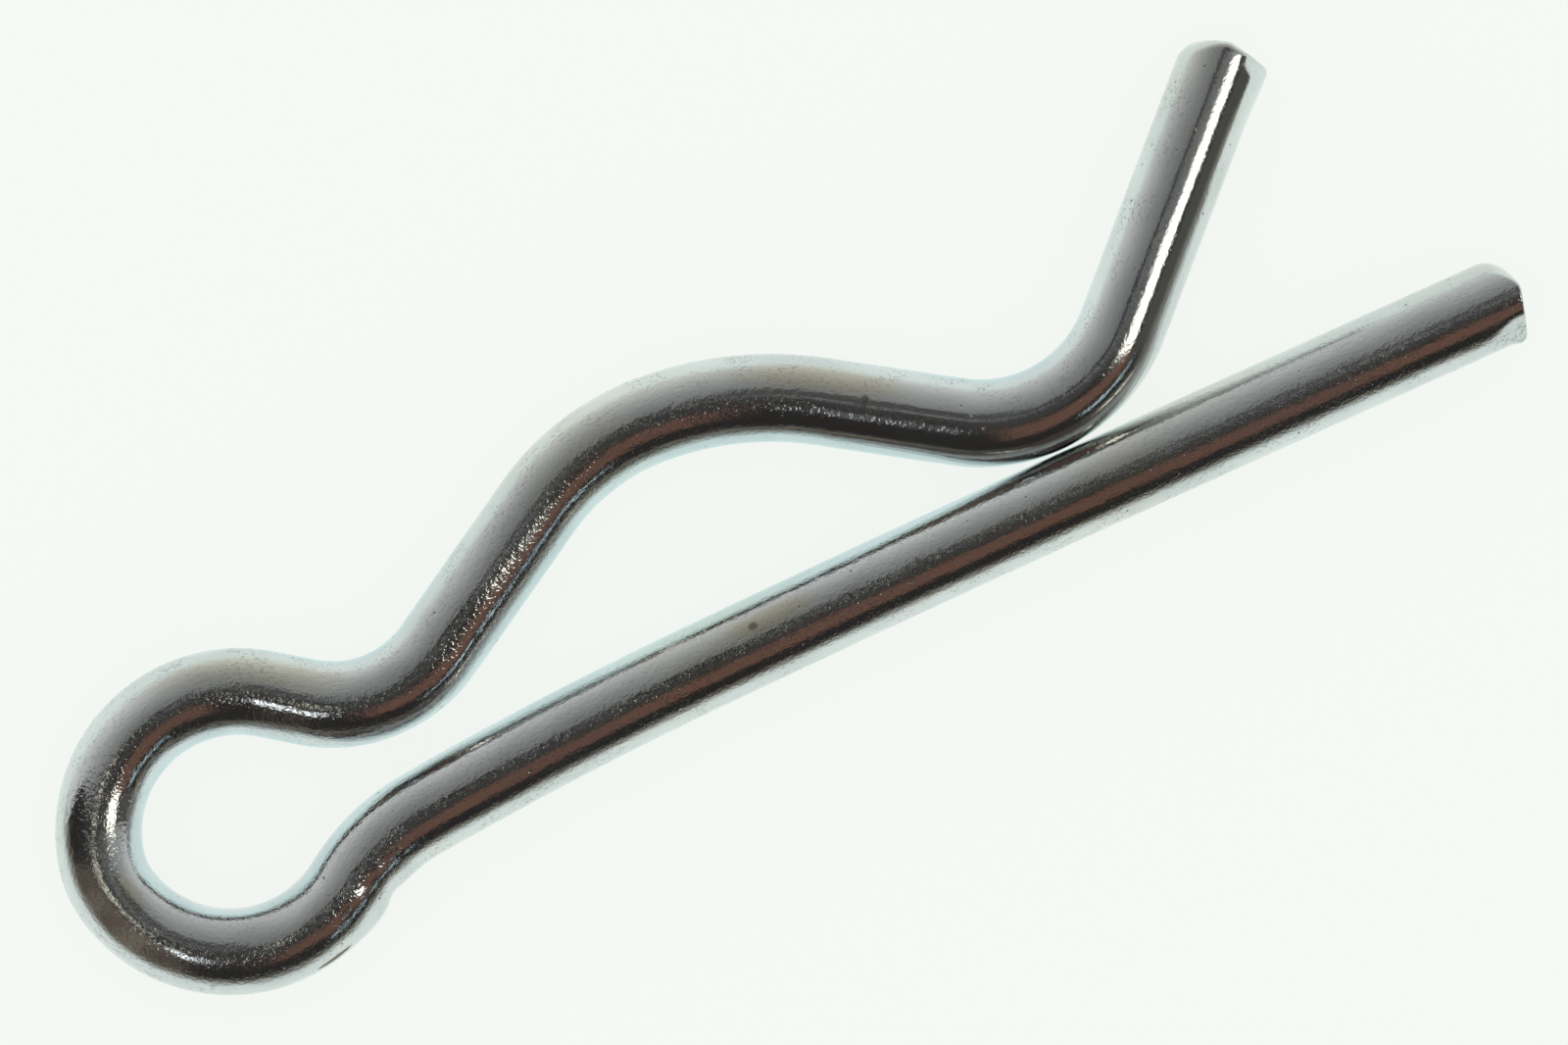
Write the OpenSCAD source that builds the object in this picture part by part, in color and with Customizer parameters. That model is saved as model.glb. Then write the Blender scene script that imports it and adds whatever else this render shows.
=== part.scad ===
// Hairpin cotter pin, bent cold from one length of round spring wire.
// The clevis pin that it locks stands on the Z axis. The straight leg goes through the cross hole of
// that clevis pin along X, and the arm snaps round its outside on the +Y side.
// The wire lies in the XY plane, and the origin is where the axis of the leg meets that of the clevis pin.

/* [Wire] */
// Diameter of the wire
wire_d = 3.2; // [2.4:0.1:3.8]

/* [Clevis pin] */
// Diameter of the clevis pin that the arm wraps
pin_d = 14; // [11:0.5:18]
// Clearance between the clevis pin and the inside of the hump
seat_clearance = 0.2; // [0.05:0.05:0.8]

/* [Leg] */
// Reach of the leg past the place where the arm rests on it
tip_reach = 17.6; // [15:0.1:26]
// Length of the straight stretch at the tip of the leg
tip_straight = 13.7; // [9:0.1:14]
// Radius of the slight bow in the middle of the leg
bow_r = 1000; // [500:50:2000]
// Radius of the sweep that carries the leg down to the heel
sweep_r = 150; // [100:5:300]
// Distance from the clevis pin's axis to the start of that sweep
sweep_start = 1.3; // [0:0.1:3]
// Inside radius of the heel bend, between the leg and the eye
heel_r = 5.7; // [3:0.1:8]

/* [Eye] */
// Inside radius of the two sides of the eye
eye_side_r = 3.5; // [3:0.1:4.5]
// Inside radius of the crown of the eye, at the end of the clip
eye_crown_r = 1.8; // [1.2:0.1:3]
// Angle that the crown of the eye takes up
eye_crown_angle = 28; // [10:1:60]
// Height of the eye's centre over the axis of the leg
eye_rise = 1.7; // [0.5:0.1:3]

/* [Arm] */
// Gap that the neck would leave over a leg with no bow or sweep
throat = 0.5; // [0.2:0.1:2]
// Inside radius of the neck, between the eye and the rising arm
neck_r = 3.1; // [2:0.1:5]
// Straight length between the eye and the neck
neck_straight = 1.5; // [0.5:0.1:4]
// Angle at which the arm rises from the leg
arm_angle = 30.7; // [25:0.1:40]
// Angle of the close fit past the top of the clevis pin
seat_end_angle = 4; // [0:1:12]
// Inside radius of the hump where it eases away from the clevis pin
ease_r = 10.9; // [8.5:0.1:14]
// Straight length of the ramp from the hump down to the valley
ramp_l = 5; // [2:0.1:8]
// Inside radius of the valley, which rests on the leg
valley_r = 3.9; // [2.5:0.1:6]
// Gap left between the valley and the leg
contact_gap = 0.05; // [0.02:0.01:0.3]
// Angle of the flared end from the leg
flare_angle = 45; // [35:1:60]
// Straight length of the flared end, up to the ridge of its cut
flare_l = 11; // [6:0.1:16]

/* [Sheared ends] */
// Slope of the two faces that the shear leaves, from square
shear_angle = 16; // [8:1:24]
// Distance of the ridge from the wire's axis on the tip of the leg, towards the arm
leg_ridge = 0.3; // [0:0.05:0.5]
// Distance of the ridge from the wire's axis on the flared end
flare_ridge = 0; // [0:0.05:0.5]
// Radius rolled over on the edges where the blades went in
roll_r = 0.8; // [0.4:0.05:1]
// Height of the burr where the blade came out
burr_h = 0.08; // [0.04:0.01:0.15]
// Length of the burr along the wire
burr_l = 0.6; // [0.3:0.05:1]

/* [Hidden] */
$fn = 48;
// How much the radius of the wire draws down in a bend
bend_draw = 0.02;
// How far each straight stretch runs past its ends, over the bends
lap = 0.15;
// How far each bend stops short of its ends, inside the straight stretches
inset = 0.05;
// How far outside the wire each rolled-over edge would reach
roll_lift = 0.03;
// Share of the wire's radius below which the burr stands
burr_share = 0.45;
// Overrun of every cut past the surface that it cuts
overrun = 1;

wire_r = wire_d / 2;

function along(heading) = [cos(heading), sin(heading)];
function left_of(heading) = [-sin(heading), cos(heading)];
function wrapped(angle) = angle - 360 * floor(angle / 360);

// A bend is its centre and the radius of the wire's axis, positive where the wire turns to its left.
function on_bend(bend, heading) = bend[0] - bend[1] * left_of(heading);
// A second bend that takes over from the first one at a heading
function next_bend(bend, heading, radius) = [on_bend(bend, heading) + radius * left_of(heading), radius];
// Heading of the straight stretch that leaves one bend and meets the next
function straight_heading(from, to) =
    let (d = to[0] - from[0])
    atan2(d.y, d.x) + asin(max(-1, min(1, (from[1] - to[1]) / norm(d))));
// Angle that the wire turns through on a bend, with the sign of its radius
function turn(bend, heading_in, heading_out) =
    bend[1] > 0 ? wrapped(heading_out - heading_in) : -wrapped(heading_in - heading_out);
// Where two circles cross, on the right of the line from the first centre to the second
function crossing(c1, r1, c2, r2) =
    let (
        d = norm(c2 - c1),
        to_second = (c2 - c1) / d,
        to_right = [to_second.y, -to_second.x],
        middle = (r1 * r1 - r2 * r2 + d * d) / (2 * d)
    )
    c1 + middle * to_second + sqrt(r1 * r1 - middle * middle) * to_right;

// Radii of the wire's axis
hump_axis_r = pin_d / 2 + seat_clearance + wire_r;
ease_axis_r = ease_r + wire_r;
valley_axis_r = valley_r + wire_r;
neck_axis_r = neck_r + wire_r;
side_axis_r = eye_side_r + wire_r;
crown_axis_r = eye_crown_r + wire_r;
heel_axis_r = heel_r + wire_r;

// The hump wraps the clevis pin, then eases away and runs down to the valley.
hump = [[0, 0], -hump_axis_r];
ease = next_bend(hump, -seat_end_angle, -ease_axis_r);
valley_y = wire_d + contact_gap + valley_axis_r;
ease_to_valley = norm([ease_axis_r + valley_axis_r, ramp_l]);
valley_x = ease[0].x + sqrt(pow(ease_to_valley, 2) - pow(valley_y - ease[0].y, 2));
valley = [[valley_x, valley_y], valley_axis_r];

// The neck clears the leg by the throat and lies along the rising arm.
neck_y = wire_d + throat + neck_axis_r;
neck_x = (neck_y * cos(arm_angle) - hump_axis_r - neck_axis_r) / sin(arm_angle);
neck = [[neck_x, neck_y], neck_axis_r];

// The eye hangs from the neck: two equal sides about a tighter crown that faces away from the clevis pin.
crown_in = 90 + eye_crown_angle / 2;
crown_out = 90 - eye_crown_angle / 2;
side_from_crown = (crown_axis_r - side_axis_r) * left_of(crown_out);
upper_y = eye_rise + side_from_crown.y;
upper_to_neck = norm([side_axis_r + neck_axis_r, neck_straight]);
upper_x = neck_x - sqrt(pow(upper_to_neck, 2) - pow(neck_y - upper_y, 2));
upper_side = [[upper_x, upper_y], -side_axis_r];
crown = next_bend(upper_side, crown_out, -crown_axis_r);
lower_side = next_bend(crown, crown_in, -side_axis_r);

// The leg is straight at its tip, bows, and sweeps down to the heel bend that starts the eye.
tip = [valley_x + tip_reach, 0];
bow = [[tip.x - tip_straight, -bow_r], bow_r];
bow_angle = asin((bow[0].x + sweep_start) / bow_r);
sweep = next_bend(bow, 180 + bow_angle, sweep_r);
heel_c = crossing(sweep[0], sweep_r - heel_axis_r, lower_side[0], side_axis_r + heel_axis_r);
heel = [heel_c, heel_axis_r];

// Every bend from the leg to the flared end, and the heading of the wire before, between and after them
bends = [bow, sweep, heel, lower_side, crown, upper_side, neck, hump, ease, valley];
last = len(bends) - 1;
headings = [
    180,
    for (i = [0:last - 1]) straight_heading(bends[i], bends[i + 1]),
    flare_angle
];
flare_start = on_bend(valley, flare_angle);
flare_tip = flare_start + flare_l * along(flare_angle);

// Straight wire that starts at a point of its axis on a heading, run back into the bend behind it
module straight(from, heading, length) {
    translate(from)
        rotate([0, 0, heading])
            rotate([0, 90, 0])
                translate([0, 0, -lap])
                    cylinder(r = wire_r, h = lap + length);
}

// Wire bent round its centre, drawn down by a hair
module bent(bend, heading_in, heading_out) {
    axis_r = abs(bend[1]);
    turned = turn(bend, heading_in, heading_out);
    first = turned > 0 ? heading_in - 90 : heading_in + turned + 90;
    inset_angle = asin(inset / axis_r);
    translate(bend[0])
        rotate([0, 0, first + inset_angle])
            rotate_extrude(angle = abs(turned) - 2 * inset_angle)
                translate([axis_r, 0])
                    circle(r = wire_r - bend_draw);
}

// Block that one blade takes off the end, for a cut whose ridge is at the origin
module blade_cut(slope) {
    rotate([0, 0, slope])
        translate([0, -wire_d, -wire_d])
            cube(wire_d * 2);
}

// What is missing from an edge that is rolled over, with the roll on the Z axis and the edge on +X and +Y
module roll_cut() {
    corner = roll_r + overrun;
    difference() {
        translate([0, 0, -wire_d])
            cube([corner, corner, wire_d * 2]);
        cylinder(r = roll_r, h = (wire_d + overrun) * 2, center = true);
    }
}

// Burr pushed out on the right of the wire, where the blade came through
module burr(ridge_y) {
    end_x = -(wire_r + ridge_y) * tan(shear_angle);
    half_l = burr_l / 2;
    intersection() {
        translate([end_x - burr_l, 0, 0])
            rotate([0, 90, 0]) {
                cylinder(r1 = wire_r - burr_h, r2 = wire_r + burr_h, h = half_l);
                translate([0, 0, half_l])
                    cylinder(r1 = wire_r + burr_h, r2 = wire_r - burr_h, h = half_l);
            }
        translate([end_x - burr_l - overrun, -wire_d - overrun, -wire_d])
            cube([burr_l + overrun * 2, wire_d + overrun - wire_r * burr_share, wire_d * 2]);
    }
}

// Straight end stretch with a ridge beside the axis, at a point and heading of that axis
module sheared_end(tip, heading, length, ridge_y) {
    roll_y = wire_r + roll_lift - roll_r;
    roll_x = -(roll_r + (roll_y - ridge_y) * sin(shear_angle)) / cos(shear_angle);
    translate(tip)
        rotate([0, 0, heading]) {
            difference() {
                straight([-length, 0], 0, length + overrun);
                translate([0, ridge_y]) {
                    blade_cut(shear_angle);
                    blade_cut(-shear_angle);
                }
                translate([roll_x, roll_y])
                    roll_cut();
                for (side = [0, 1])
                    mirror([0, 0, side])
                        translate([roll_lift - roll_r, 0, roll_y])
                            rotate([90, 0, 0])
                                roll_cut();
            }
            burr(ridge_y);
        }
}

module hairpin() {
    color("silver") {
        sheared_end(tip, 0, tip_straight, leg_ridge);
        for (i = [0:last])
            bent(bends[i], headings[i], headings[i + 1]);
        for (i = [0:last - 1]) {
            from = on_bend(bends[i], headings[i + 1]);
            to = on_bend(bends[i + 1], headings[i + 1]);
            straight(from, headings[i + 1], norm(to - from) + lap);
        }
        sheared_end(flare_tip, flare_angle, flare_l, flare_ridge);
    }
}

hairpin();
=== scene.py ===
# %% [markdown]
# # A hairpin cotter pin in bright zinc
# The object is one length of round spring wire with a bright zinc plate. A straight leg goes through the
# cross hole of a clevis pin, and a springy arm snaps round the outside of it. We make it the way a wire
# former does: cut a straight blank, press its two ends, mark it, and only then bend it.

# %% Load the part that is being dressed
import math
import bmesh
import bpy
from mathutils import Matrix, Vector


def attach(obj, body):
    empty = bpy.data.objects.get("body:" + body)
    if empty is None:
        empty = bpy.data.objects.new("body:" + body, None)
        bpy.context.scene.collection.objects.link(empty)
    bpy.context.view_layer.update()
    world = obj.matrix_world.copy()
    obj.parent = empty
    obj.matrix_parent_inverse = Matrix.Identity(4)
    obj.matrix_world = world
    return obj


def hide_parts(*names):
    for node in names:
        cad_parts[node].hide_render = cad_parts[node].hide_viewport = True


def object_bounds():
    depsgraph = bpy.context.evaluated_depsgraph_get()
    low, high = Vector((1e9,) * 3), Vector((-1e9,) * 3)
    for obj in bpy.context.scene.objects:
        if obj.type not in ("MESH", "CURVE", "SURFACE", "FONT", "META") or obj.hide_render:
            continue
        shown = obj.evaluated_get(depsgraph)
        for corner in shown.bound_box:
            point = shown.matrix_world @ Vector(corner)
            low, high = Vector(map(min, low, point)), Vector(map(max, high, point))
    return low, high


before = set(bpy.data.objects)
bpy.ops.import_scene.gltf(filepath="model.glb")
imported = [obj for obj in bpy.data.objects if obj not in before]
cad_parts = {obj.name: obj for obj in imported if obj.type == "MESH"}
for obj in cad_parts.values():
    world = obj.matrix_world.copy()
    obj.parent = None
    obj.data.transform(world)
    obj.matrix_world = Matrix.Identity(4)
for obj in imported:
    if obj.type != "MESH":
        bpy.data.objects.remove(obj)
cad_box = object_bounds()
mm = 0.001
print("CAD box in mm:", [round(side / mm, 2) for side in cad_box[1] - cad_box[0]])

# %% [markdown]
# ## The line that the wire follows
# On the bench the wire is drawn round posts: each bend is an arc about its own post, and between two posts
# the wire runs straight, touching both circles. A radius is that of the wire's own axis, positive where the
# wire turns left. The thickness of the wire and the tip of the leg are read from the part. The rest are sizes
# that a gauge would give: the clevis pin, the gaps, and the inside radius of each bend.

# %% Wire, and two rules for bends, in millimetres
wire_r = (cad_box[1].z - cad_box[0].z) / 2 / mm
leg_tip = Vector((cad_box[1].x / mm, 0.0))

def sideways(heading):
    """One step to the left of a heading."""
    return Vector((-math.sin(heading), math.cos(heading)))

def on_bend(post, radius, heading):
    return post - radius * sideways(heading)

def post_after(post, radius, heading, new_radius):
    """Post of the bend that takes over from another one at a heading."""
    return on_bend(post, radius, heading) + new_radius * sideways(heading)

print("wire of", round(2 * wire_r, 2), "mm; tip of the leg at", round(leg_tip.x, 2), "mm")

# %% [markdown]
# The hump wraps the clevis pin, which stands on the Z axis. Past its top it eases away, and a short ramp runs
# down to the valley, which all but touches the leg. The valley's height is therefore known, and its distance
# is the other side of a right triangle.

# %% Hump, easing and valley
clevis_pin_r = 7.0
seat_clearance = 0.2
seat_end = math.radians(-4)
ramp = 5.0
contact_gap = 0.05
easing_inside, valley_inside = 10.9, 3.9
hump_r = -(clevis_pin_r + seat_clearance + wire_r)
easing_r = -(easing_inside + wire_r)
valley_r = valley_inside + wire_r

hump = Vector((0.0, 0.0))
easing = post_after(hump, hump_r, seat_end, easing_r)
valley_y = 2 * wire_r + contact_gap + valley_r
easing_to_valley = math.hypot(valley_r - easing_r, ramp)
valley = Vector((easing.x + math.sqrt(easing_to_valley ** 2 - (valley_y - easing.y) ** 2), valley_y))
print("valley at", [round(c, 2) for c in valley])

# %% [markdown]
# The arm rises to the hump from the neck, which clears the leg by the throat. The eye hangs from the neck:
# two equal sides with a tighter crown between them, which faces away from the clevis pin.

# %% Neck and eye
arm_heading = math.radians(30.7)
throat = 0.5
neck_straight = 1.5
eye_rise = 1.7
half_crown = math.radians(14)
neck_inside, side_inside, crown_inside = 3.1, 3.5, 1.8
neck_r = neck_inside + wire_r
side_r = -(side_inside + wire_r)
crown_r = -(crown_inside + wire_r)

neck_y = 2 * wire_r + throat + neck_r
neck = Vector(((neck_y * math.cos(arm_heading) + hump_r - neck_r) / math.sin(arm_heading), neck_y))
upper_y = eye_rise + (side_r - crown_r) * math.sin(half_crown)
upper_to_neck = math.hypot(neck_r - side_r, neck_straight)
upper_side = Vector((neck.x - math.sqrt(upper_to_neck ** 2 - (neck_y - upper_y) ** 2), upper_y))
crown = post_after(upper_side, side_r, math.pi / 2 - half_crown, crown_r)
lower_side = post_after(crown, crown_r, math.pi / 2 + half_crown, side_r)
print("eye about", [round(c, 2) for c in crown])

# %% [markdown]
# The leg is straight at its tip, then bows slightly, then sweeps down to the heel. The heel's post touches
# both the sweep and the eye, so it stands where two circles cross.

# %% Leg and heel
tip_straight = 13.7
sweep_start = -1.3
bow_r, sweep_r = 1000.0, 150.0
heel_inside = 5.7
heel_r = heel_inside + wire_r

bow = Vector((leg_tip.x - tip_straight, -bow_r))
sweep = post_after(bow, bow_r, math.pi + math.asin((bow.x - sweep_start) / bow_r), sweep_r)
sweep_to_eye = lower_side - sweep
to_sweep, to_eye = sweep_r - heel_r, heel_r - side_r
ahead = (to_sweep ** 2 - to_eye ** 2 + sweep_to_eye.length_squared) / (2 * sweep_to_eye.length)
toward_eye = sweep_to_eye.normalized()
aside = math.sqrt(to_sweep ** 2 - ahead ** 2)
heel = sweep + ahead * toward_eye + aside * Vector((toward_eye.y, -toward_eye.x))
print("heel at", [round(c, 2) for c in heel])

# %% [markdown]
# Now the bends are put in order along the wire. Seen from one post, the next one lies in some direction, and
# the wire leaves at that direction, turned by the angle whose sine is the difference of the two radii over
# the distance of the posts.

# %% Headings before, between and after the bends
posts = [
    ("bow of the leg", bow, bow_r),
    ("sweep of the leg", sweep, sweep_r),
    ("heel", heel, heel_r),
    ("lower side of the eye", lower_side, side_r),
    ("crown of the eye", crown, crown_r),
    ("upper side of the eye", upper_side, side_r),
    ("neck", neck, neck_r),
    ("hump", hump, hump_r),
    ("easing of the hump", easing, easing_r),
    ("valley", valley, valley_r),
]
flare_heading = math.radians(45)
flare_length = 11.0

headings = [math.pi]
for (_, post, radius), (_, following, following_radius) in zip(posts, posts[1:]):
    way = following - post
    turned_in = (radius - following_radius) / way.length
    headings.append(math.atan2(way.y, way.x) + math.asin(max(-1.0, min(1.0, turned_in))))
headings.append(flare_heading)
print(len(posts), "bends; headings in degrees:", [round(math.degrees(h) % 360, 1) for h in headings])

# %% [markdown]
# The line itself is drawn with one vertex. A plane whose corners are merged leaves a single point; extruding
# it draws a straight stretch, and spinning it round a post draws a bend. The points are kept about an eighth
# of a millimetre apart, so that the wire bent along them later shows no corners.

# %% Draw the line from the leg's tip to the flared end
line_step = 0.12

def start_point(name, place):
    bpy.ops.object.select_all(action="DESELECT")
    bpy.ops.mesh.primitive_plane_add(size=mm, location=(place.x * mm, place.y * mm, 0))
    bpy.ops.object.transform_apply(location=True)
    piece = bpy.context.object
    piece.name = name
    bpy.ops.object.mode_set(mode="EDIT")
    bpy.ops.mesh.merge(type="CENTER")
    return piece

def draw_straight(stretch):
    steps = max(1, round(stretch.length / line_step))
    for _ in range(steps):
        bpy.ops.mesh.extrude_vertices_move(
            TRANSFORM_OT_translate={"value": (stretch.x * mm / steps, stretch.y * mm / steps, 0)})

def draw_bend(post, radius, turned):
    steps = max(4, round(abs(radius * turned) / line_step))
    bpy.ops.mesh.spin(steps=steps, angle=-turned, center=(post[0] * mm, post[1] * mm, 0), axis=(0, 0, 1))

line = start_point("wire_line", leg_tip)
place = leg_tip
wire_length = 0.0
where = {}
for (name, post, radius), before, after in zip(posts, headings, headings[1:]):
    bend_start = on_bend(post, radius, before)
    turned = math.remainder(after - before, 2 * math.pi)
    draw_straight(bend_start - place)
    wire_length += (bend_start - place).length
    draw_bend(post, radius, turned)
    where[name] = wire_length + abs(radius * turned) / 2
    wire_length += abs(radius * turned)
    place = on_bend(post, radius, after)
draw_straight(flare_length * Vector((math.cos(flare_heading), math.sin(flare_heading))))
wire_length += flare_length
bpy.ops.object.mode_set(mode="OBJECT")
bpy.ops.object.convert(target="CURVE")
line = bpy.context.object
print("wire length:", round(wire_length, 2), "mm; line of", len(line.data.splines[0].points), "points")
print("middles of the bends along the wire:", {name: round(s, 1) for name, s in where.items()})

# %% [markdown]
# ## The straight blank
# The blank lies along X with its length as its coordinate, so every later mark can be given as so many
# millimetres from the tip and so far round the wire. It starts as a circle, is pulled to its length in a few
# extrusions, and is cut into short rings with subdivide. The last stretch at each end is left for the press.

# %% Pull the plain stretch of the wire
around = 72
end_stretch = 2.6
pulls = 5
rings_in_pull = 100

bpy.ops.object.select_all(action="DESELECT")
bpy.ops.mesh.primitive_circle_add(vertices=around, radius=wire_r * mm, fill_type="NOTHING",
                                  location=(end_stretch * mm, 0, 0), rotation=(0, math.pi / 2, 0))
bpy.ops.object.transform_apply(location=True, rotation=True)
wire = bpy.context.object
wire.name = "zinc_hairpin"
bpy.ops.object.mode_set(mode="EDIT")
pull = (wire_length - 2 * end_stretch) / pulls
for _ in range(pulls):
    bpy.ops.mesh.extrude_region_move(TRANSFORM_OT_translate={"value": (pull * mm, 0, 0)})

def select(kind, chosen):
    """Selects the vertices or edges of the wire for which chosen(element) is true, and nothing else."""
    bpy.ops.mesh.select_mode(type="VERT" if kind == "verts" else "EDGE")
    bpy.ops.mesh.select_all(action="DESELECT")
    mesh = bmesh.from_edit_mesh(wire.data)
    for element in getattr(mesh, kind):
        if chosen(element):
            element.select_set(True)
    mesh.select_flush_mode()
    bmesh.update_edit_mesh(wire.data)

select("edges", lambda e: abs(e.verts[0].co.x - e.verts[1].co.x) > mm)
bpy.ops.mesh.subdivide(number_cuts=rings_in_pull - 1)
print("plain stretch:", round(pull * pulls, 2), "mm in", pulls * rings_in_pull, "rings")

# %% [markdown]
# ## The sheared ends
# Each end was nipped between two blades that came in from the sides of the clip. They leave two sloping
# faces with an upright ridge between them. Where the first blade went in, the edge is rolled over in a wide
# curve; the edges above and below are rolled less, and where the wire broke free, a small lip stands proud.
# A bevel gives one width all round, so here each new ring is extruded in place and its points are set by the
# rules of the cut: u runs out of the end from the ridge, v towards the rolled edge.

# %% Rules of the cut
shear_slope = math.tan(math.radians(15))
ridge_round = 0.1
blade_roll, blade_roll_power = 0.8, 1.5
lip_roll, lip_roll_share = 0.08, 1.15
lip_height = 0.08
lip_from_share, lip_fade_share = 0.45, 0.5

def ease(x):
    """Runs smoothly from 0 to 1 as x does, and stays there."""
    x = max(0.0, min(1.0, x))
    return x * x * (3 - 2 * x)

def roll_radius(turn, top_roll):
    """Radius rolled over on the edge: widest where the blade went in, and next to nothing by the lip."""
    side = math.cos(turn)
    if side > 0:
        return top_roll + (blade_roll - top_roll) * ease(side) ** blade_roll_power
    return top_roll - (top_roll - lip_roll) * ease(-side * lip_roll_share)

def face_depth(v, ridge):
    return -shear_slope * (math.hypot(v - ridge, ridge_round) - ridge_round)

def lip_share(turn):
    return ease((-math.cos(turn) - lip_from_share) / lip_fade_share)

print("face of a sheared end falls back by", round(-face_depth(wire_r, 0.0), 2), "mm at the rim")

# %% [markdown]
# One function gives the place of every point of an end. It goes along the wall of the wire, over the rolled
# edge, and in over the two faces. The lip is added to that, and last the nip: beside the lip the blades have
# squeezed the wire flat above and below.

# %% Skin of an end
wall_rings, roll_rings, face_rings = 16, 8, 10
face_share = 0.98
lip_rise_share, lip_drop, lip_overlap = 0.8, 0.2, 0.02
nip_from_share, nip_bite_share, nip_slope = 0.76, 0.34, 1.25

def end_point(turn, step, ridge, top_roll, nip, lip_length):
    """u, v and z of the end's skin: first along the wall, then over the rolled edge, then in to the middle."""
    rolled = roll_radius(turn, top_roll)
    wall_end = face_depth(wire_r * math.cos(turn), ridge) - rolled
    if step <= wall_rings:
        u = -end_stretch + (wall_end + end_stretch) * step / wall_rings
        out = wire_r
    elif step <= wall_rings + roll_rings:
        swung = (step - wall_rings) / roll_rings * math.pi / 2
        out = wire_r - rolled + rolled * math.cos(swung)
        u = face_depth(out * math.cos(turn), ridge) - rolled + rolled * math.sin(swung)
    else:
        inward = (step - wall_rings - roll_rings) / face_rings
        out = (wire_r - rolled) * (1 - inward * face_share)
        u = face_depth(out * math.cos(turn), ridge)
    lip_end = face_depth(-wire_r, ridge)
    lip_rise = ease((u - lip_end + lip_length) / (lip_rise_share * lip_length))
    lip = lip_share(turn) * lip_rise * ease((lip_end - u + lip_overlap) / lip_drop)
    out += lip_height * lip * out / wire_r
    side, up = out * math.cos(turn), out * math.sin(turn)
    nipped = nip_from_share - nip_bite_share * ease((u - lip_end + nip) / nip)
    if side < -nipped * wire_r:
        flat = math.sqrt(1 - nipped ** 2) - nip_slope * (-side / wire_r - nipped)
        up = math.copysign(min(abs(up), wire_r * max(flat, 0.0)), up)
    return u, side, up

# %% [markdown]
# The two ends are not alike. The ridge of the leg stands off the middle and its blades bit deeper. The flared
# end is rolled more above and below, and its lip is longer.

# %% Press the two ends
leg_trim, flare_trim = 0.05, 0.08

def press_end(ridge_x, outward, **cut):
    """Extrudes one end of the blank ring by ring, and sets each ring by the rules of its cut."""
    last_ring = end_stretch if outward < 0 else wire_length - end_stretch
    select("verts", lambda v: abs(v.co.x - last_ring * mm) < 1e-3 * mm)
    ring = [v for v in bmesh.from_edit_mesh(wire.data).verts if v.select]
    turns = {v.co.copy().freeze(): math.atan2(v.co.z, outward * v.co.y) for v in ring}
    for step in range(1, wall_rings + roll_rings + face_rings + 1):
        bpy.ops.mesh.extrude_region_move()
        last_turns, turns = turns, {}
        for v in [v for v in bmesh.from_edit_mesh(wire.data).verts if v.select]:
            turn = last_turns[v.co.copy().freeze()]
            u, side, up = end_point(turn, step, **cut)
            v.co = ((ridge_x + outward * u) * mm, outward * side * mm, up * mm)
            turns[v.co.copy().freeze()] = turn
        bmesh.update_edit_mesh(wire.data)
    bpy.ops.mesh.edge_face_add()

press_end(leg_trim, outward=-1, ridge=0.25, top_roll=0.10, nip=1.7, lip_length=0.7)
press_end(wire_length - flare_trim, outward=1, ridge=0.0, top_roll=0.26, nip=0.6, lip_length=2.2)
bpy.ops.mesh.select_mode(type="VERT")
bpy.ops.mesh.select_all(action="SELECT")
bpy.ops.mesh.normals_make_consistent(inside=False)
bpy.ops.object.mode_set(mode="OBJECT")
print("blank:", len(wire.data.vertices), "points,", len(wire.data.polygons), "faces")

# %% [markdown]
# Wire that is bent tight is stretched as well, and so gets thinner. From the heel to the neck it loses a hair,
# and a resize with proportional editing lets that fade over a few millimetres at both ends.

# %% Draw the wire down where it is bent tight
drawn_down = 0.986
fade = 4.0
bpy.ops.object.mode_set(mode="EDIT")
select("verts", lambda v: where["heel"] < v.co.x / mm < where["neck"])
bpy.ops.transform.resize(value=(1, drawn_down, drawn_down), center_override=(0, 0, 0),
                         use_proportional_edit=True, proportional_edit_falloff="SMOOTH",
                         proportional_size=fade * mm)
bpy.ops.object.mode_set(mode="OBJECT")
eye_middle = where["crown of the eye"]
in_eye = [v.co.z / mm for v in wire.data.vertices if abs(v.co.x / mm - eye_middle) < fade]
print("radius at the eye:", round(max(in_eye), 4), "mm")

# %% [markdown]
# The heel was bent over a narrow tool, which left its mark on the outside of the leg: a shallow dent, and
# beside it a little ridge of metal that was pushed up. Proportional editing does that with two short pushes
# on one point of the blank, as it would by hand.

# %% Mark of the bending tool at the heel
def push(along_wire, depth, reach):
    """Moves the left side of the blank in or out around one point, fading within the reach."""
    target = Vector((along_wire, wire_r, 0)) * mm
    nearest = min(wire.data.vertices, key=lambda v: (v.co - target).length).index
    bpy.ops.object.mode_set(mode="EDIT")
    select("verts", lambda v: v.index == nearest)
    bpy.ops.transform.translate(value=(0, depth * mm, 0), use_proportional_edit=True,
                                proportional_edit_falloff="SMOOTH", proportional_size=reach * mm)
    bpy.ops.object.mode_set(mode="OBJECT")
    return wire.data.vertices[nearest].co / mm

print("dent at", push(along_wire=47.0, depth=-0.08, reach=0.8)[:])
print("ridge at", push(along_wire=48.3, depth=0.06, reach=1.1)[:])

# %% [markdown]
# Before the wire is bent, each point's place on the blank is written into an attribute of the mesh. The
# finish reads it later, so the drawing lines, pits and stains follow the wire round every bend, just as
# they do on the real one.

# %% Keep the place of every point on the blank
blank = wire.data.attributes.new("blank", "FLOAT_VECTOR", "POINT")
blank.data.foreach_set("vector", [c / mm for v in wire.data.vertices for c in v.co])
print("blank kept from", round(min(d.vector.x for d in blank.data), 3), "to",
      round(max(d.vector.x for d in blank.data), 3), "mm")

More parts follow.
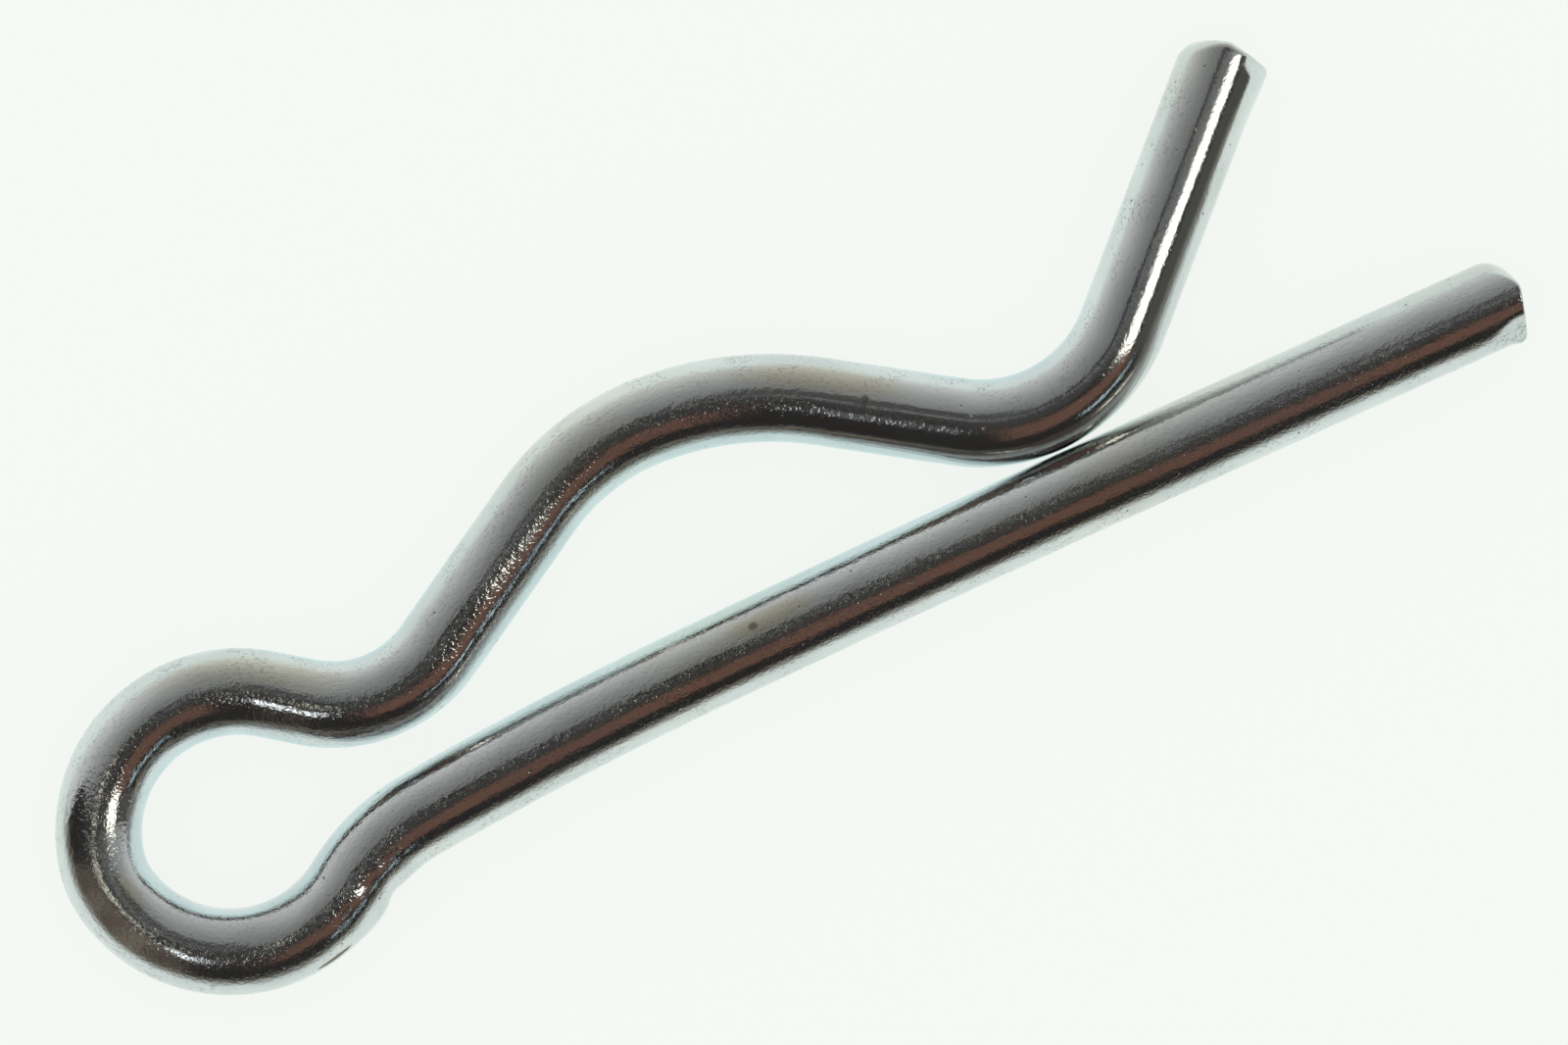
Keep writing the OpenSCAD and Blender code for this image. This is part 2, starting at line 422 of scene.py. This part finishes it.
# %% [markdown]
# ## Bending
# A Curve modifier carries the straight blank along the line that was drawn first. The line lies flat, so
# left stays left and up stays up all the way. The modifier is applied, and the line has done its work.

# %% Bend the blank along the line
bend = wire.modifiers.new("bend", "CURVE")
bend.object = line
bend.deform_axis = "POS_X"
bpy.ops.object.select_all(action="DESELECT")
wire.select_set(True)
bpy.context.view_layer.objects.active = wire
bpy.ops.object.modifier_apply(modifier=bend.name)
bpy.data.objects.remove(line)
bpy.ops.object.shade_smooth()
print("bent wire in mm:", [round(side / mm, 2) for side in wire.dimensions])

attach(wire, "root")
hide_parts("hairpin")

# %% [markdown]
# ## The zinc finish
# Bright zinc is a mirror that is never quite even. One Principled shader with its metallic set to 1 gives the
# mirror, and everything else changes only its colour, roughness and bump. All of it is placed on the blank,
# in millimetres from the leg's tip, so that it follows the wire. A few small helpers keep the node trees short.

# %% Start the zinc
zinc = bpy.data.materials.new("bright_zinc")
zinc.use_nodes = True
nodes, links = zinc.node_tree.nodes, zinc.node_tree.links
shader = nodes["Principled BSDF"]
shader.inputs["Metallic"].default_value = 1.0
on_blank = nodes.new("ShaderNodeAttribute")
on_blank.attribute_name = "blank"

def noise(scale, stretch, detail=2.0, rough=0.5):
    """Noise on the blank, with so many grains to a millimetre, drawn out along the wire."""
    turned = nodes.new("ShaderNodeMapping")
    turned.inputs["Scale"].default_value = (1 / stretch, 1, 1)
    links.new(on_blank.outputs["Vector"], turned.inputs["Vector"])
    made = nodes.new("ShaderNodeTexNoise")
    made.inputs["Scale"].default_value = scale
    made.inputs["Detail"].default_value = detail
    made.inputs["Roughness"].default_value = rough
    links.new(turned.outputs["Vector"], made.inputs["Vector"])
    return made.outputs["Fac"]

def ranged(value, low, high, to_low=0.0, to_high=1.0):
    """Carries a socket smoothly from one range to another."""
    made = nodes.new("ShaderNodeMapRange")
    made.interpolation_type = "SMOOTHSTEP"
    for socket, number in zip(("From Min", "From Max", "To Min", "To Max"), (low, high, to_low, to_high)):
        made.inputs[socket].default_value = number
    links.new(value, made.inputs["Value"])
    return made.outputs["Result"]

def sum_of(*terms):
    """Adds up sockets, each with a share."""
    total = None
    for value, share in terms:
        made = nodes.new("ShaderNodeMath")
        made.operation = "MULTIPLY_ADD"
        links.new(value, made.inputs[0])
        made.inputs[1].default_value = share
        made.inputs[2].default_value = 0.0
        if total is not None:
            links.new(total, made.inputs[2])
        total = made.outputs[0]
    return total

def math_node(operation, *values):
    """A Math node whose inputs are sockets or plain numbers."""
    made = nodes.new("ShaderNodeMath")
    made.operation = operation
    for socket, value in zip(made.inputs, values):
        if hasattr(value, "is_linked"):
            links.new(value, socket)
        else:
            socket.default_value = value
    return made.outputs[0]

def times(*values):
    made = values[0]
    for value in values[1:]:
        made = math_node("MULTIPLY", made, value)
    return made

def fading(value, full, gone):
    """1 up to one value, and down to 0 at another."""
    return ranged(value, full, gone, 1.0, 0.0)

def between(value, low, high, soft):
    return times(ranged(value, low - soft, low + soft), fading(value, high - soft, high + soft))

def mixed(share, first, second):
    """Mixes two colours, each a socket or three numbers."""
    made = nodes.new("ShaderNodeMix")
    made.data_type = "RGBA"
    links.new(share, made.inputs["Factor"])
    for socket, colour in zip((made.inputs[6], made.inputs[7]), (first, second)):
        if hasattr(colour, "is_linked"):
            links.new(colour, socket)
        else:
            socket.default_value = (*colour, 1)
    return made.outputs[2]

# %% [markdown]
# Two more helpers make what is found on the skin: round pits, from the cells of a Voronoi texture, and soft
# spots, from the distance to one place on the blank. With them come four noises. Slow waves bend the
# reflections a little, and wider ones are kept for the tight bends. The grain that the drawing die left frays
# the edges of the reflections, and a fine sand is left from the plating bath.

# %% Waves, grain, sand and pits
pit_edge = 0.12

def pits_of(cells, share, size):
    """Round pits: so many cells to a millimetre, the share of them that holds a pit, and its size in cells."""
    scattered = nodes.new("ShaderNodeTexVoronoi")
    scattered.inputs["Scale"].default_value = cells
    links.new(on_blank.outputs["Vector"], scattered.inputs["Vector"])
    lot = nodes.new("ShaderNodeSeparateColor")
    links.new(scattered.outputs["Color"], lot.inputs["Color"])
    reach = ranged(lot.outputs["Red"], 1 - share, 1.0, 0.0, size)
    return fading(math_node("SUBTRACT", scattered.outputs["Distance"], reach), -pit_edge, 0.0)

def spot(along_wire, turn, length, width, edge=0.6):
    """A soft patch on the skin: so far along the wire, so many degrees round it from its left side."""
    away = nodes.new("ShaderNodeVectorMath")
    away.operation = "SUBTRACT"
    links.new(on_blank.outputs["Vector"], away.inputs[0])
    round_wire = math.radians(turn)
    away.inputs[1].default_value = (along_wire, wire_r * math.cos(round_wire), wire_r * math.sin(round_wire))
    shrunk = nodes.new("ShaderNodeVectorMath")
    shrunk.operation = "MULTIPLY"
    links.new(away.outputs["Vector"], shrunk.inputs[0])
    shrunk.inputs[1].default_value = (2 / length, 2 / width, 2 / width)
    far = nodes.new("ShaderNodeVectorMath")
    far.operation = "LENGTH"
    links.new(shrunk.outputs["Vector"], far.inputs[0])
    return fading(far.outputs["Value"], 1 - edge, 1.0)

waves = noise(scale=0.7, stretch=1.6, detail=1.0)
bend_waves = noise(scale=0.45, stretch=2.2, detail=1.0)
grain = noise(scale=5.0, stretch=1.5, rough=0.6)
sand = ranged(noise(scale=8.5, stretch=1.2, detail=1.0), 0.5, 0.66)
pits = pits_of(cells=2.2, share=0.42, size=0.17)
print("grain, sand and pits of", len(nodes), "nodes")

# %% [markdown]
# The bump puts those heights together, in thousandths of a millimetre. The sand is deepest where the arm and
# the heel were rubbed, the wire is wavier from the heel to the arm, where it was bent tight, and it is
# smoother from the hump to the flared end. The bending tool left short ripples and burnished lines on the
# heel. On the real clip the arm and the flared end also lean out of the flat by a degree or two. That is far
# too little to change the outline, so the mesh stays flat, but a mirror shows it at once. A long shallow ramp
# in the bump leans the reflections.

# %% Bump
micron = 1e-6
chatter_pitch = 1.45
place_on_blank = nodes.new("ShaderNodeSeparateXYZ")
links.new(on_blank.outputs["Vector"], place_on_blank.inputs["Vector"])
along_wire, across_wire = place_on_blank.outputs["X"], place_on_blank.outputs["Y"]

arm_rub, heel_rub = spot(80.0, 98, 11, 0.9), spot(47.0, 88, 6, 1.2)
sand_depth = times(sand, sum_of((arm_rub, 0.8), (heel_rub, 2.0), (noise(scale=0.5, stretch=1.5), 5.0)))
smoother_arm = ranged(along_wire, 87, 98, 1.0, 0.42)
texture = times(sum_of((grain, 10.0), (sand_depth, -1.0)), smoother_arm)
wavier = times(bend_waves, between(along_wire, 46, 79, 5))
arm_lean, flare_lean = ranged(along_wire, 75, 87), ranged(along_wire, 102, 132)
ripple = math_node("SINE", times(along_wire, 2 * math.pi / chatter_pitch))
chatter = times(ripple, spot(47.6, 58, 6.0, 2.2, edge=0.8))
burnished = sum_of((spot(45.9, 69, 1.1, 0.3), 1.0), (spot(47.5, 78, 0.9, 0.3), 1.0),
                   (spot(48.7, 71, 0.8, 0.25), 1.0))
height = sum_of((waves, 20.0), (wavier, 200.0), (texture, 1.0), (pits, -14.0), (arm_lean, -220.0),
                (flare_lean, -1000.0), (chatter, 20.0), (burnished, 12.0))

bump = nodes.new("ShaderNodeBump")
bump.inputs["Strength"].default_value = 1.0
bump.inputs["Distance"].default_value = micron
links.new(height, bump.inputs["Height"])
links.new(bump.outputs["Normal"], shader.inputs["Normal"])
print("bump of", len(nodes), "nodes")

# %% [markdown]
# Zinc tarnishes in soft clouds, with a faint yellow bloom where the bath dried on it. Soil stays in the sand
# and in the pits, and mostly on the left side of the wire, where nothing rubs it off. Four marks are given
# one by one: three small dark stains, and the tool mark that the heel's dent left beside it, whose dark colour
# is a painted reflection of its flattened facet.

# %% Colour and gloss
clear_zinc, dull_zinc = (0.70, 0.72, 0.715), (0.62, 0.645, 0.65)
# The dark soil colour also paints the dark reflection in the heel's tool mark.
yellow_bloom, dark_soil_and_reflection = (0.61, 0.59, 0.49), (0.17, 0.15, 0.11)

cloud = noise(scale=0.45, stretch=2.0, detail=4.0, rough=0.55)
tarnished = mixed(ranged(cloud, 0.35, 0.65), clear_zinc, dull_zinc)

leg_bloom, crown_bloom = spot(29.6, 113, 5, 1.1), spot(57.6, 108, 2.5, 1.0)
eye_bloom, hump_bloom = spot(69.0, 56, 9, 1.6), spot(94.0, 58, 8, 1.4)
thin_bloom = ranged(noise(scale=0.25, stretch=2.5, detail=3.0), 0.52, 0.75)
bloom = sum_of((leg_bloom, 0.8), (crown_bloom, 0.7), (eye_bloom, 0.7), (hump_bloom, 0.9), (thin_bloom, 0.4))

gathered = ranged(noise(scale=0.9, stretch=1.3), 0.42, 0.62)
soil = times(sand, gathered, ranged(across_wire, 0.2, 1.3, 0.13, 0.36))
leg_stain, leg_fleck = spot(30.4, 111, 0.5, 0.4), spot(24.0, 96, 0.25, 0.5)
# The heel's tool mark is real, and its dark colour is a painted reflection of its flattened facet.
hump_stain, heel_mark_and_painted_reflection = spot(95.6, 81, 0.4, 0.6), spot(49.9, 21.5, 1.35, 0.34, edge=0.3)
dirt_and_painted_reflection = sum_of((soil, 1.0), (pits, 0.7), (leg_stain, 0.8), (leg_fleck, 0.8), (hump_stain, 0.8), (heel_mark_and_painted_reflection, 1.1))

links.new(mixed(dirt_and_painted_reflection, mixed(bloom, tarnished, yellow_bloom), dark_soil_and_reflection), shader.inputs["Base Color"])
links.new(sum_of((ranged(cloud, 0.3, 0.7, 0.09, 0.14), 1.0), (dirt_and_painted_reflection, 0.25)), shader.inputs["Roughness"])
wire.data.materials.append(zinc)
print("bright zinc of", len(nodes), "nodes")

# %% [markdown]
# ## The light table
# The clip lies on a pale light table. For the camera the table glows evenly, and a little of it is plain
# diffuse white, so it also keeps the soft shadow under the wire. In the mirror of the zinc the table is
# brightest close to the wire and fades with distance, more so towards the bottom of the picture. Between the
# arm and the leg it is a little bluer, because that light has gone from zinc to zinc.

# %% Floor
table_r = 1.5

bpy.ops.object.select_all(action="DESELECT")
bpy.ops.mesh.primitive_circle_add(vertices=96, radius=table_r, fill_type="NGON", location=(0, 0, -wire_r * mm))
bpy.ops.object.transform_apply(location=True)
table = bpy.context.object
table.name = "light_table"

glow = bpy.data.materials.new("pale_table")
glow.use_nodes = True
nodes, links = glow.node_tree.nodes, glow.node_tree.links
nodes.clear()
rays = nodes.new("ShaderNodeLightPath")
on_table = nodes.new("ShaderNodeTexCoord")
table_place = nodes.new("ShaderNodeSeparateXYZ")
links.new(on_table.outputs["Object"], table_place.inputs["Vector"])
table_x, table_y = table_place.outputs["X"], table_place.outputs["Y"]

# %% Glow of the table, for the camera and for the mirror
picture_turn = math.radians(24.274)
paper_white, paper_diffuse = (0.905, 0.930, 0.896), (0.095, 0.10, 0.095)
mirrored_white, bluer_white = (0.86, 0.93, 0.90), (0.77, 0.94, 0.93)
camera_level, near_level = 0.92, 0.98

inside_clip = times(between(table_x, -23 * mm, 16 * mm, 3 * mm), between(table_y, 0.5 * mm, 8 * mm, 2 * mm))
mirrored = mixed(inside_clip, mirrored_white, bluer_white)
up_the_picture = sum_of((table_x, math.sin(picture_turn)), (table_y, math.cos(picture_turn)))
far_level = ranged(up_the_picture, -8 * mm, 14 * mm, 0.40, 0.80)
nearness = fading(rays.outputs["Ray Length"], 1 * mm, 40 * mm)
field = math_node("ADD", far_level, times(math_node("SUBTRACT", near_level, far_level), nearness))

for_camera, for_mirror = rays.outputs["Is Camera Ray"], rays.outputs["Is Glossy Ray"]
lit = nodes.new("ShaderNodeEmission")
links.new(mixed(for_camera, mirrored, paper_white), lit.inputs["Color"])
links.new(sum_of((for_camera, camera_level), (times(for_mirror, field), 1.0)), lit.inputs["Strength"])
white = nodes.new("ShaderNodeBsdfDiffuse")
white.inputs["Color"].default_value = (*paper_diffuse, 1)
both = nodes.new("ShaderNodeAddShader")
links.new(white.outputs[0], both.inputs[0])
links.new(lit.outputs[0], both.inputs[1])
out = nodes.new("ShaderNodeOutputMaterial")
links.new(both.outputs[0], out.inputs["Surface"])
table.data.materials.append(glow)
print("table across:", round(table.dimensions.x, 2), "m")

# %% [markdown]
# ## The studio that the wire mirrors
# A mirror shows its surroundings and little else, so the room is drawn with care. It is painted on the world,
# in flat coordinates of a ceiling: how far to the right and how far up the picture a direction leans, for one
# step upwards. One half of the room is a pale grey screen, brighter towards its foot and with one dark corner.
# The other half is dark, with a tan wall, a brown shelf, a strip of window and three lamps, and it glows a
# little at the horizon. Diffuse light stays plain and white.

# %% World
studio = bpy.data.worlds.new("studio")
bpy.context.scene.world = studio
studio.use_nodes = True
nodes, links = studio.node_tree.nodes, studio.node_tree.links
nodes.clear()
lowest_rise = 0.01
heading_of_ray = nodes.new("ShaderNodeTexCoord")
to_picture = nodes.new("ShaderNodeMapping")
to_picture.inputs["Rotation"].default_value = (0, 0, picture_turn)
links.new(heading_of_ray.outputs["Generated"], to_picture.inputs["Vector"])
leaning = nodes.new("ShaderNodeSeparateXYZ")
links.new(to_picture.outputs["Vector"], leaning.inputs["Vector"])
rise = math_node("MAXIMUM", leaning.outputs["Z"], lowest_rise)
right = math_node("DIVIDE", leaning.outputs["X"], rise)
up = math_node("DIVIDE", leaning.outputs["Y"], rise)
lean = math_node("SQRT", math_node("ADD", times(right, right), times(up, up)))
bearing = times(math_node("ARCTAN2", up, right), math.degrees(1))
print("ceiling coordinates of", len(nodes), "nodes")

# %% [markdown]
# The dark side comes first, from the back to the front. Each thing in it is a share between 0 and 1, which
# mixes its colour over what is there already. On the wire the shelf becomes the brown line along the leg, and
# the wall the tan patch on the outside of the eye.

# %% Dark side of the room: the ceiling, a tan wall, a brown shelf and a strip of window
dark_ceiling, grey_ceiling = (0.022, 0.020, 0.019), (0.060, 0.056, 0.054)
brown_fold, tan_fold, fold_width = (0.115, 0.086, 0.070), (0.20, 0.168, 0.132), 19
shelf_brown, window_blue = (0.155, 0.082, 0.060), (0.60, 0.74, 0.78)
dim_grey, horizon_tan = (0.085, 0.085, 0.080), (0.26, 0.245, 0.20)

overhead = times(fading(lean, 0.18, 0.42), ranged(right, -0.14, 0.12))
room = mixed(overhead, dark_ceiling, grey_ceiling)
wall = times(ranged(lean, 0.22, 0.6), between(bearing, -166, -112, 12))
folds = ranged(math_node("SINE", times(bearing, 2 * math.pi / fold_width)), -0.5, 0.9)
room = mixed(wall, room, mixed(folds, brown_fold, tan_fold))
shelf_end = sum_of((right, 0.47), (up, -0.88))
shelf = times(fading(up, -0.40, -0.28), fading(shelf_end, 1.02, 1.36), between(bearing, -80, -22, 5))
room = mixed(shelf, room, shelf_brown)
window = times(between(lean, 1.80, 2.17, 0.07), between(bearing, -52, -28, 3))
room = mixed(window, room, window_blue)
past_lamp = times(ranged(lean, 1.1, 1.4), between(bearing, -24, 5, 4))
room = mixed(past_lamp, room, dim_grey)
room = mixed(fading(rise, 0.0, 0.28), room, horizon_tan)
print("dark side of", len(nodes), "nodes")

# %% [markdown]
# The screen covers the upper half of the room. Its lower edge is a sum of smooth steps, and its grey gets
# lighter the lower a direction points, which gives the wire its soft roundness.

# %% The grey screen, with its wavy lower edge and dark corner
screen_tint, corner_grey = (0.985, 1.0, 0.985), (0.075, 0.075, 0.072)
screen_foot, screen_fall = 0.745, 0.543

edge = sum_of((ranged(right, -2.0, -0.4, 0.46, 0.05), 1.0), (ranged(right, -0.18, -0.06), 0.18),
              (ranged(right, -0.05, 0.0), -0.20), (ranged(right, 0.1, 0.28), -0.06))
screen = ranged(math_node("SUBTRACT", up, edge), -0.05, 0.07)
screen_level = math_node("MULTIPLY_ADD", rise, -screen_fall, screen_foot)
screen_colour = nodes.new("ShaderNodeCombineColor")
for channel, tint in zip(screen_colour.inputs, screen_tint):
    links.new(times(screen_level, tint), channel)
room = mixed(screen, room, screen_colour.outputs["Color"])
corner_top = sum_of((up, 1.0), (right, 0.2))
corner = times(between(right, -0.06, 0.45, 0.03), ranged(up, 0.11, 0.17), fading(corner_top, 0.38, 0.52))
room = mixed(corner, room, corner_grey)
print("screen of", len(nodes), "nodes")

# %% [markdown]
# The lamps are small and far brighter than white, so they are mixed in last. They give the long line on the
# flared end and the short glints round the eye and on the heel.

# %% Three lamps
warm_lamp, cool_lamp, dim_lamp = (2.6, 2.5, 2.2), (2.7, 2.8, 2.85), (1.0, 0.95, 0.78)

long_lamp = times(between(right, 0.40, 0.90, 0.05), ranged(bearing, -24, -19), fading(up, -0.03, 0.02))
room = mixed(long_lamp, room, warm_lamp)
slanted = sum_of((right, 1.0), (up, -0.167))
small_lamp = times(between(slanted, -0.095, -0.045, 0.012), between(up, -0.64, -0.33, 0.05))
room = mixed(small_lamp, room, cool_lamp)
side_lamp = times(between(right, -0.30, -0.11, 0.03), between(up, -0.15, -0.03, 0.03))
room = mixed(side_lamp, room, dim_lamp)
print("room of", len(nodes), "nodes")

# %% [markdown]
# Only mirrors see the room. All other rays get a plain white light, so the shadow on the table stays soft.

# %% Join the studio to the plain light
painted = nodes.new("ShaderNodeBackground")
links.new(room, painted.inputs["Color"])
plain = nodes.new("ShaderNodeBackground")
plain.inputs["Color"].default_value = (*paper_white, 1)
rays = nodes.new("ShaderNodeLightPath")
chosen = nodes.new("ShaderNodeMixShader")
links.new(rays.outputs["Is Glossy Ray"], chosen.inputs[0])
links.new(plain.outputs[0], chosen.inputs[1])
links.new(painted.outputs[0], chosen.inputs[2])
out = nodes.new("ShaderNodeOutputWorld")
links.new(chosen.outputs[0], out.inputs["Surface"])
print("studio of", len(nodes), "nodes")

# %% [markdown]
# ## Camera
# The clip is looked at from straight above, with the leg rising to the right of the picture. The camera
# stands 450 mm off, and its lens is chosen so that the picture is as wide as it should be at the wire.

# %% Camera
picture_middle = (3.436, 3.390)
picture_width = 56.889
camera_height = 450.0
sensor_width = 36.0
camera = bpy.data.objects.new("camera", bpy.data.cameras.new("camera"))
bpy.context.scene.collection.objects.link(camera)
camera.location = (picture_middle[0] * mm, picture_middle[1] * mm, camera_height * mm)
camera.rotation_euler = (0, 0, -picture_turn)
camera.data.sensor_width = sensor_width
camera.data.lens = sensor_width * camera_height / picture_width
camera.data.clip_start = 10 * mm
bpy.context.scene.camera = camera
bpy.context.scene.view_settings.view_transform = "Standard"
print("lens:", round(camera.data.lens, 1), "mm")
